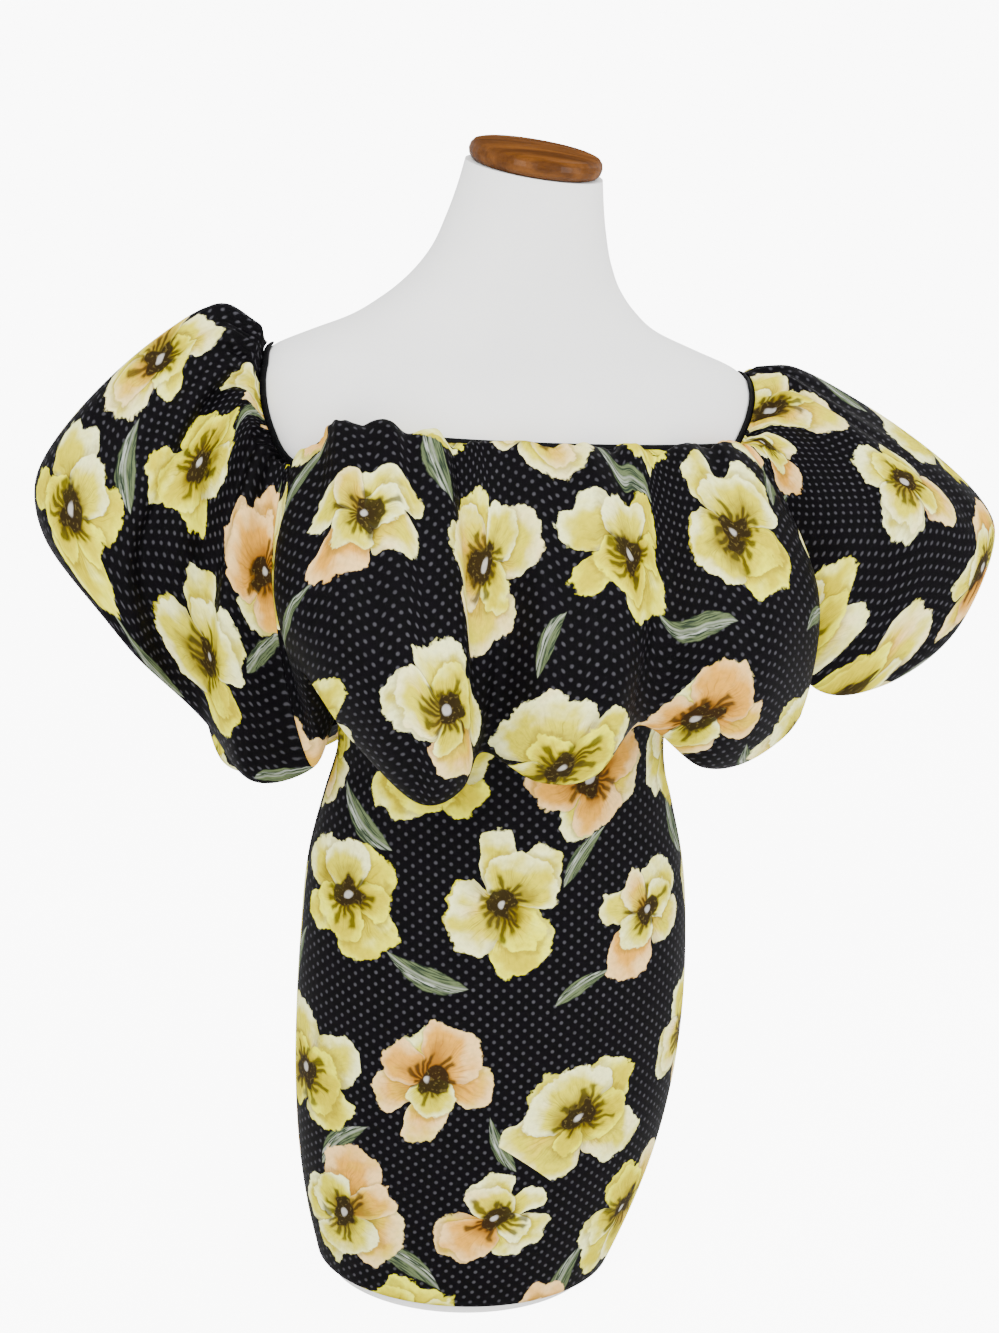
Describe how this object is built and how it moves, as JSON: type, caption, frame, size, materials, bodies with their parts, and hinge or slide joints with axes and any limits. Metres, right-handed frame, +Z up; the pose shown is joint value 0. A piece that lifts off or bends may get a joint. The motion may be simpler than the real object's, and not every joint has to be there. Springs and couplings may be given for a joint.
{
  "type": "off-shoulder dress on a dress form",
  "caption": "Close-fitting off-shoulder dress with a deep puffed flounce and wide puffed sleeves, on a limbless dress form with a round wooden neck cap.",
  "frame": {"origin": "centre of the form's flat underside", "axes": "+Z up, the dress's front towards -Y, +X to the right as seen from the front"},
  "size_m": [0.8084, 0.4205, 0.9862],
  "materials": {
    "printed_cloth": "black cloth with pale pin dots and large yellow, cream and peach flowers",
    "neckline_elastic": "matt black elastic casing",
    "form_cover": "smooth off-white cover",
    "varnished_wood": "varnished orange-brown wood"
  },
  "bodies": {
    "root": {"form_body": "form_cover", "form_neck_cap": "varnished_wood", "dress_front": "printed_cloth", "dress_back": "printed_cloth", "neckline_casing_front": "neckline_elastic", "neckline_casing_back": "neckline_elastic", "flounce_front": "printed_cloth", "flounce_back": "printed_cloth", "sleeve_left": "printed_cloth", "sleeve_right_front": "printed_cloth", "sleeve_right_back": "printed_cloth"}
  },
  "joints": []
}
